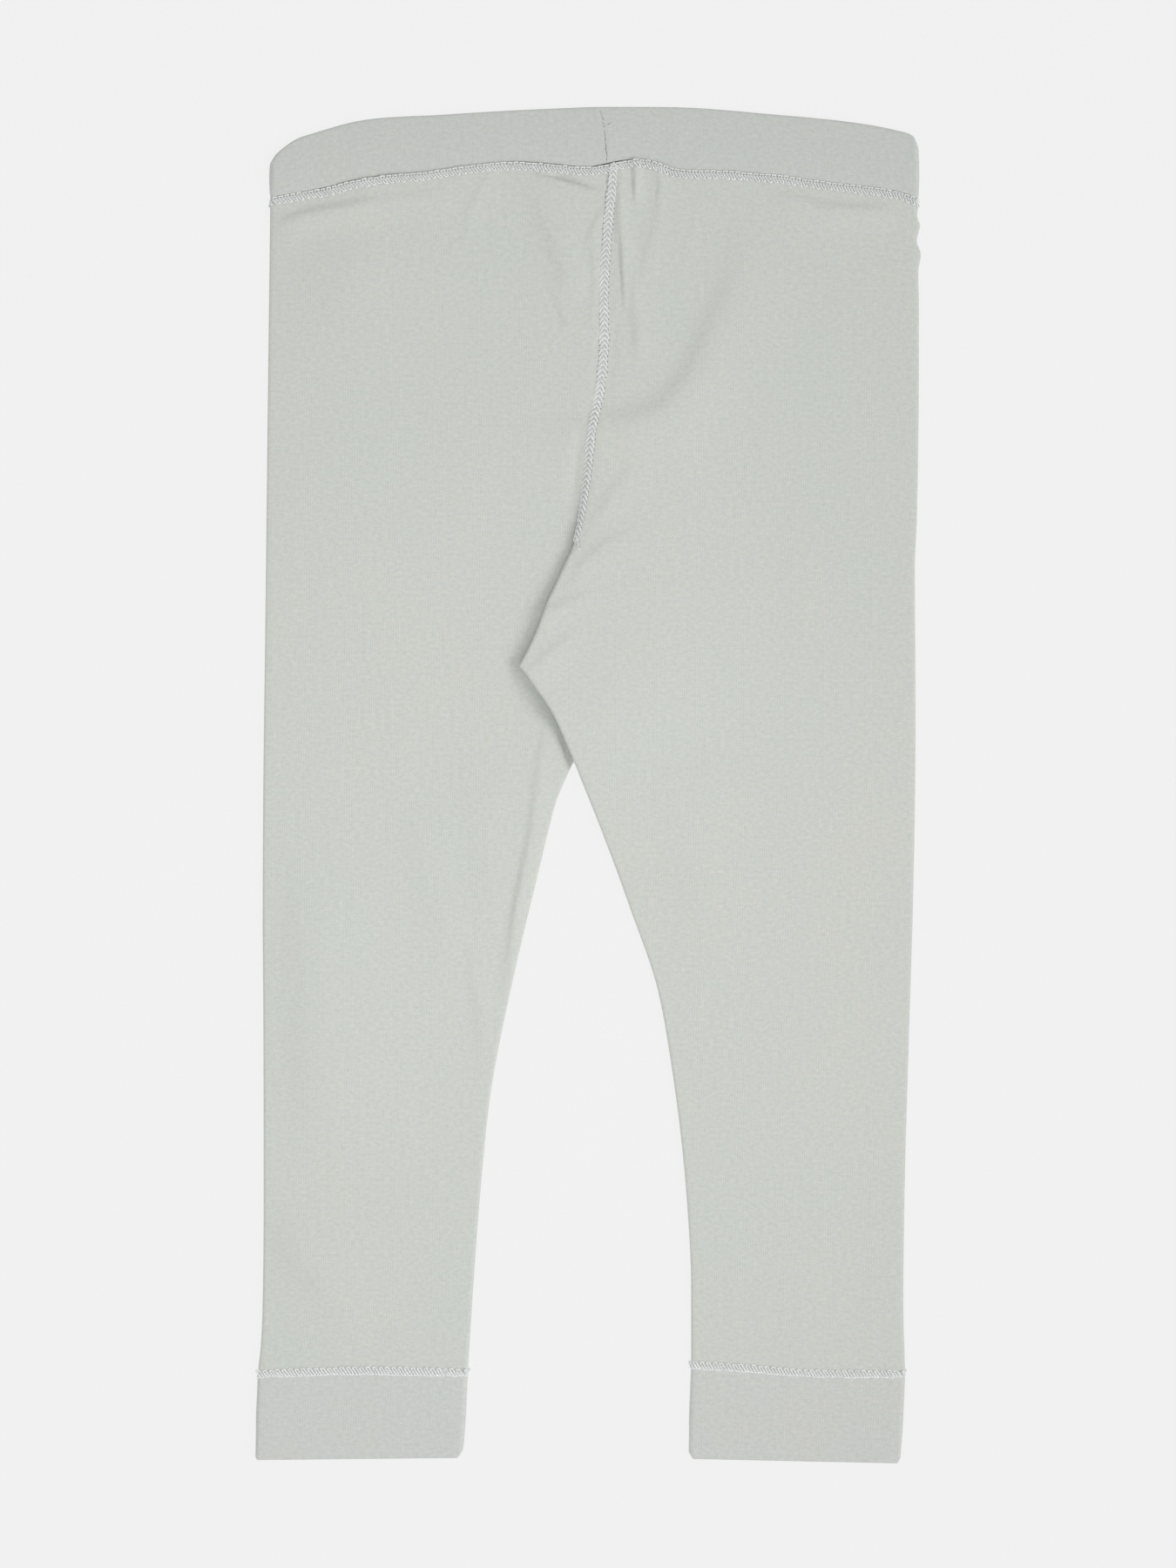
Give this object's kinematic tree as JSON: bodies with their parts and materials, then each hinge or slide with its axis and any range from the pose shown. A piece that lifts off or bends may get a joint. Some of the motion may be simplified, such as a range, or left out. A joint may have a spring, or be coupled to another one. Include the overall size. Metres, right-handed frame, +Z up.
{
  "type": "trousers",
  "caption": "Small child's pull-on jersey trousers, slim in the leg, with a folded waistband and deep cuffs, laid flat with the back up and the crotch turned over.",
  "frame": {"origin": "middle of the laid garment, on the surface that it lies on", "axes": "+Y towards the waist, +X towards the right leg, +Z up from the surface, out of the garment's back"},
  "size_m": [0.2139, 0.4359, 0.0066],
  "materials": {
    "jersey": "matt fine knit",
    "jersey_band": "matt fine knit, double"
  },
  "bodies": {
    "root": {"left_leg": "jersey", "right_leg": "jersey", "waistband": "jersey_band", "left_cuff": "jersey_band", "right_cuff": "jersey_band"}
  },
  "joints": []
}
